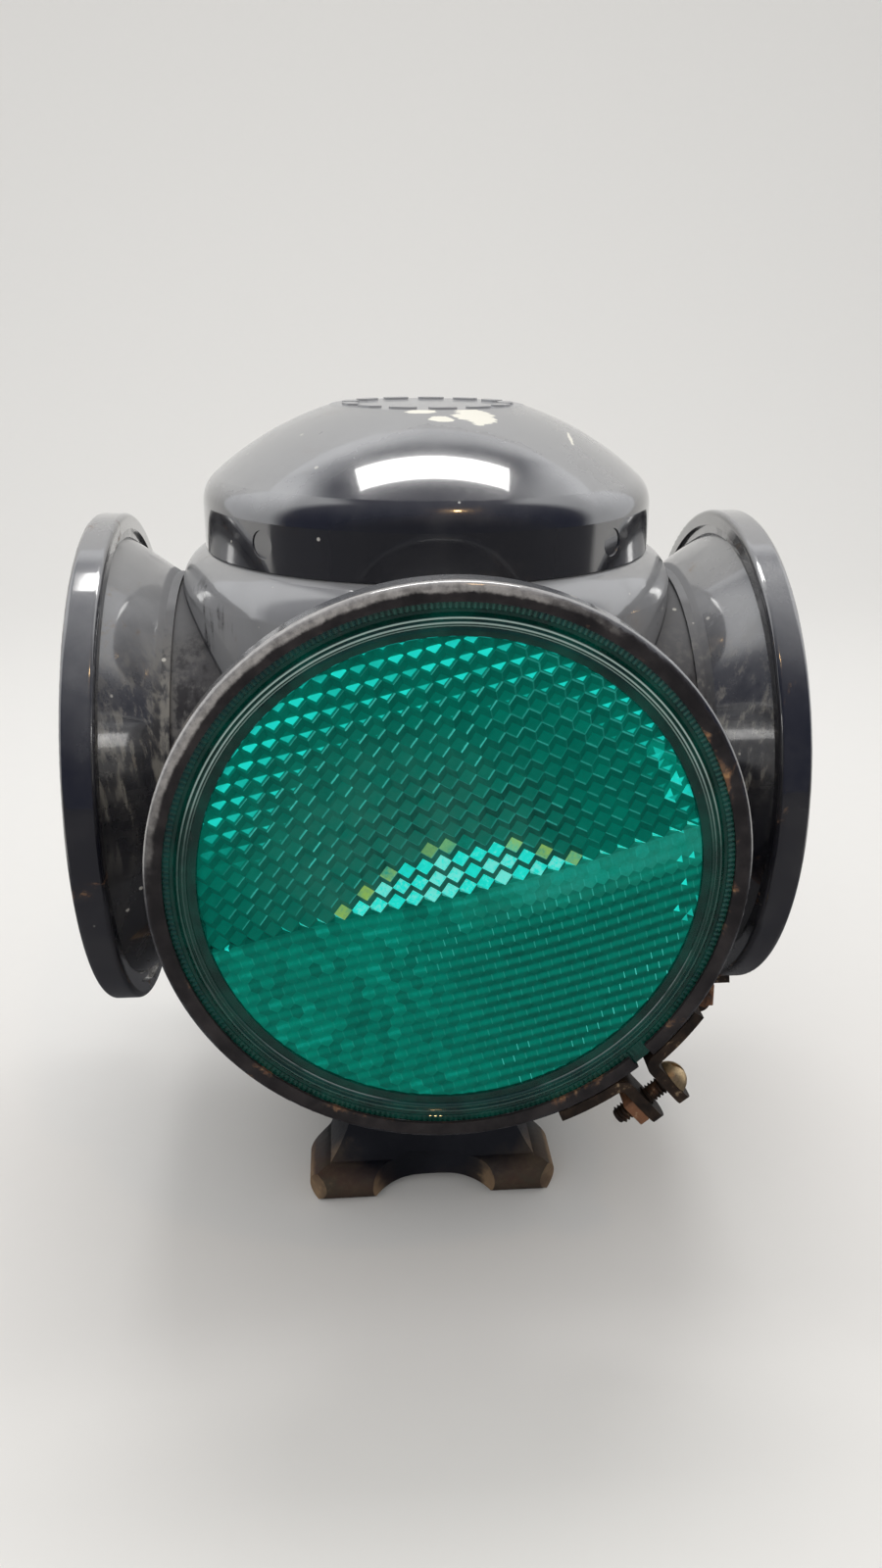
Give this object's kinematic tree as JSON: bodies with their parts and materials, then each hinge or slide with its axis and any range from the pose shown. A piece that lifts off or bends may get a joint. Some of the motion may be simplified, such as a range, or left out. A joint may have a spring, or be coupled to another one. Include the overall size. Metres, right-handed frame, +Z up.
{
  "type": "railway signal lamp",
  "caption": "Railway switch lamp: black sheet-steel drum with round reflex lenses clamped in flared hoods on every side, a hinged dome lid over an oil burner and a cast socket foot.",
  "frame": {"origin": "Centre of the base casting at the level of its toes, on the lamp's upright axis.", "axes": "+Z is up along the lamp's axis. The front green lens faces -Y, the other green lens +Y, and the red lenses face +X and -X."},
  "size_m": [0.2384, 0.2384, 0.3057],
  "materials": {
    "enamel": "gloss black stove enamel on sheet steel, scuffed and dusty",
    "worn_enamel": "black enamel worn brown-black, with chips and rust spots",
    "iron": "blackened cast iron, bare and rusty on the toes",
    "rusty_steel": "rusted steel",
    "steel": "plain steel",
    "tin": "tinned steel",
    "brass": "dull brass",
    "green_glass": "blue-green prismatic reflex lens",
    "red_glass": "red prismatic reflex lens",
    "clear_glass": "clear chimney glass",
    "felt": "dark felt",
    "cotton": "woven cotton"
  },
  "bodies": {
    "lamp": {"base_casting": "iron", "base_bolts": "rusty_steel", "base_nuts": "rusty_steel", "body_shell": "enamel", "body_collar": "enamel", "latch_spring": "steel", "hinge_body_leaf": "enamel", "hinge_pin": "steel", "fount_seat": "steel", "fount": "tin", "filler_cap": "brass", "burner": "brass", "chimney_gallery": "brass", "chimney": "clear_glass", "hood_front": "enamel", "gasket_front": "felt", "lens_front": "green_glass", "band_front": "worn_enamel", "lugs_front": "worn_enamel", "hood_right": "enamel", "gasket_right": "felt", "lens_right": "red_glass", "band_right": "worn_enamel", "lugs_right": "worn_enamel", "hood_back": "enamel", "gasket_back": "felt", "lens_back": "green_glass", "band_back": "worn_enamel", "lugs_back": "worn_enamel", "hood_left": "enamel", "gasket_left": "felt", "lens_left": "red_glass", "band_left": "worn_enamel", "lugs_left": "worn_enamel"},
    "lid": {"dome_cap": "enamel", "vent_baffle": "tin", "hinge_lid_leaf": "enamel"},
    "wick_drive": {"wick_shaft": "brass", "wick_knob": "brass"},
    "wick": {"wick": "cotton"},
    "screw_front": {"screw_front": "brass"},
    "nut_front": {"nut_front": "rusty_steel"},
    "screw_right": {"screw_right": "brass"},
    "nut_right": {"nut_right": "rusty_steel"},
    "screw_back": {"screw_back": "brass"},
    "nut_back": {"nut_back": "rusty_steel"},
    "screw_left": {"screw_left": "brass"},
    "nut_left": {"nut_left": "rusty_steel"}
  },
  "joints": [
    {"name": "lid_hinge", "type": "hinge", "parent": "lamp", "child": "lid", "pos_m": [0.05954, 0.05954, 0.26122], "axis": [-0.7071, 0.7071, 0], "range_deg": [0, 105]},
    {"name": "wick_turn", "type": "hinge", "parent": "lamp", "child": "wick_drive", "pos_m": [0.00635, 0, 0.1547], "axis": [0, 1, 0], "range_deg": [-50, 100]},
    {"name": "wick_lift", "type": "slide", "parent": "lamp", "child": "wick", "axis": [0, 0, 1], "range_m": [-0.003, 0.006]},
    {"name": "screw_front_turn", "type": "hinge", "parent": "lamp", "child": "screw_front", "pos_m": [0.06806, -0.1135, 0.09631], "axis": [0.7604, 0, 0.6494], "range_deg": [0, 800]},
    {"name": "nut_front_run", "type": "slide", "parent": "lamp", "child": "nut_front", "axis": [-0.7604, 0, -0.6494], "range_m": [0, 0.0028]},
    {"name": "screw_right_turn", "type": "hinge", "parent": "lamp", "child": "screw_right", "pos_m": [0.1135, -0.00913, 0.0716], "axis": [0, 0.9962, -0.0872], "range_deg": [0, 800]},
    {"name": "nut_right_run", "type": "slide", "parent": "lamp", "child": "nut_right", "axis": [0, -0.9962, 0.0872], "range_m": [0, 0.0028]},
    {"name": "screw_back_turn", "type": "hinge", "parent": "lamp", "child": "screw_back", "pos_m": [-0.06806, 0.1135, 0.09631], "axis": [-0.7604, 0, 0.6494], "range_deg": [0, 800]},
    {"name": "nut_back_run", "type": "slide", "parent": "lamp", "child": "nut_back", "axis": [0.7604, 0, -0.6494], "range_m": [0, 0.0028]},
    {"name": "screw_left_turn", "type": "hinge", "parent": "lamp", "child": "screw_left", "pos_m": [-0.1135, 0.06806, 0.09631], "axis": [0, -0.7604, -0.6494], "range_deg": [0, 800]},
    {"name": "nut_left_run", "type": "slide", "parent": "lamp", "child": "nut_left", "axis": [0, 0.7604, 0.6494], "range_m": [0, 0.0028]}
  ],
  "couplings": [
    {"joint": "wick_lift", "follows": "wick_turn", "m_per_rad": 0.0032}
  ]
}
